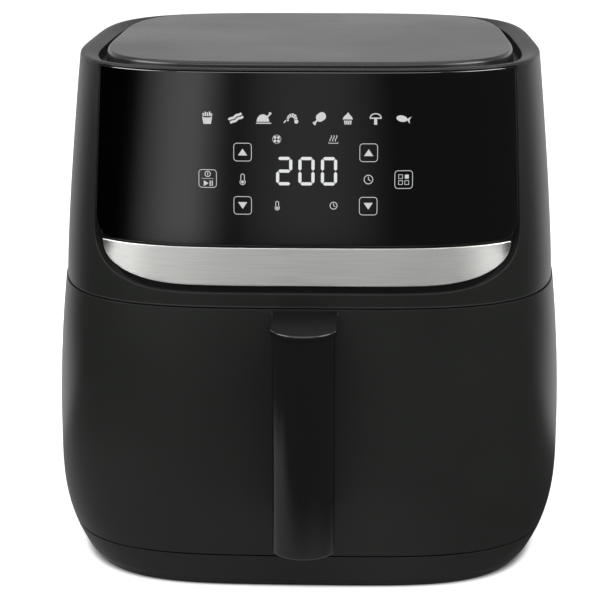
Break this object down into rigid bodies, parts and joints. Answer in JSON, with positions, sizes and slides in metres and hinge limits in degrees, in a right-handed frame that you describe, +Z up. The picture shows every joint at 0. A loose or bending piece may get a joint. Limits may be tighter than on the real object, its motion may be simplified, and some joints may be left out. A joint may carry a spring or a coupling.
{
  "type": "countertop air fryer",
  "caption": "Countertop air fryer with a rounded black body, glass touch panel over a steel trim, pull-out drawer with basket pan and crisper plate, heater and fan.",
  "frame": {"origin": "centre of the bounding box on the floor, handle included", "axes": "-Y the drawer and its handle, +X the right side as seen by the user, +Z up, floor at z = 0"},
  "size_m": [0.3154, 0.3887, 0.3067],
  "materials": {
    "upper_shell": "satin black, fine grain",
    "top_cover": "satin dark grey",
    "panel_frame": "gloss black",
    "panel_glass": "black glass, polished",
    "steel_trim": "fine horizontal brushing",
    "lower_shell": "satin black, fine grain",
    "base": "matte black",
    "feet": "matte",
    "screws": "zinc plated",
    "grille": "satin black",
    "gland": "matte",
    "frame_plastic": "matte black, heat resistant",
    "liner_steel": "aluminised sheet, dull",
    "element": "dark sheathed tube",
    "wire": "bright wire",
    "bracket_steel": "zinc plated sheet",
    "shaft_steel": "ground",
    "fan_aluminium": "stamped",
    "fan_plastic": "natural",
    "cutout": "phenolic",
    "board": "circuit board",
    "display_housing": "white",
    "switch": "black",
    "plunger": "red",
    "drawer_shell": "satin black, fine grain",
    "pan_coating": "non-stick coating",
    "silicone": "silicone",
    "handle_satin": "satin black",
    "handle_gloss": "gloss black"
  },
  "bodies": {
    "housing": {"upper_housing": "upper_shell", "top_cover": "top_cover", "panel_frame": "panel_frame", "control_panel": "panel_glass", "steel_trim": "steel_trim", "body_shell": "lower_shell", "base_tub": "base", "rubber_feet": "feet", "base_screws": "screws", "rear_grille": "grille", "cord_gland": "gland", "mid_deck": "frame_plastic", "cavity_frame": "frame_plastic", "oven_liner": "liner_steel", "pan_rails": "liner_steel", "heat_reflector": "liner_steel", "heating_element": "element", "element_guard": "wire", "motor_bracket": "bracket_steel", "motor": "bracket_steel", "exhaust_duct": "frame_plastic", "thermal_cutout": "cutout", "temperature_probe": "shaft_steel", "control_board": "board", "display_module": "display_housing", "power_board": "board", "door_switch": "switch"},
    "drawer": {"drawer_front": "drawer_shell", "drawer_inner_plate": "frame_plastic", "pan_bracket": "bracket_steel", "basket_pan": "pan_coating", "handle_neck": "handle_satin", "handle_cover": "handle_gloss", "handle_back": "handle_satin", "handle_cap": "handle_gloss", "handle_screws": "screws"},
    "crisper": {"crisper_plate": "pan_coating", "plate_bumpers": "silicone"},
    "fan_rotor": {"motor_shaft": "shaft_steel", "hot_air_fan": "fan_aluminium", "cooling_fan": "fan_plastic"},
    "plunger": {"switch_plunger": "plunger"}
  },
  "joints": [
    {"name": "drawer_slide", "type": "slide", "parent": "housing", "child": "drawer", "axis": [0, -1, 0], "range_m": [0, 0.26]},
    {"name": "plate_lift", "type": "slide", "parent": "drawer", "child": "crisper", "axis": [0, 0, 1], "range_m": [0, 0.09]},
    {"name": "fan_spin", "type": "hinge", "parent": "housing", "child": "fan_rotor", "pos_m": [0, 0.01505, 0.2], "axis": [0, 0, 1], "continuous": true},
    {"name": "switch_press", "type": "slide", "parent": "housing", "child": "plunger", "axis": [0, -1, 0], "range_m": [0, 0.0025]}
  ],
  "couplings": [
    {"joint": "switch_press", "follows": "drawer_slide", "ratio": 0.0096}
  ]
}
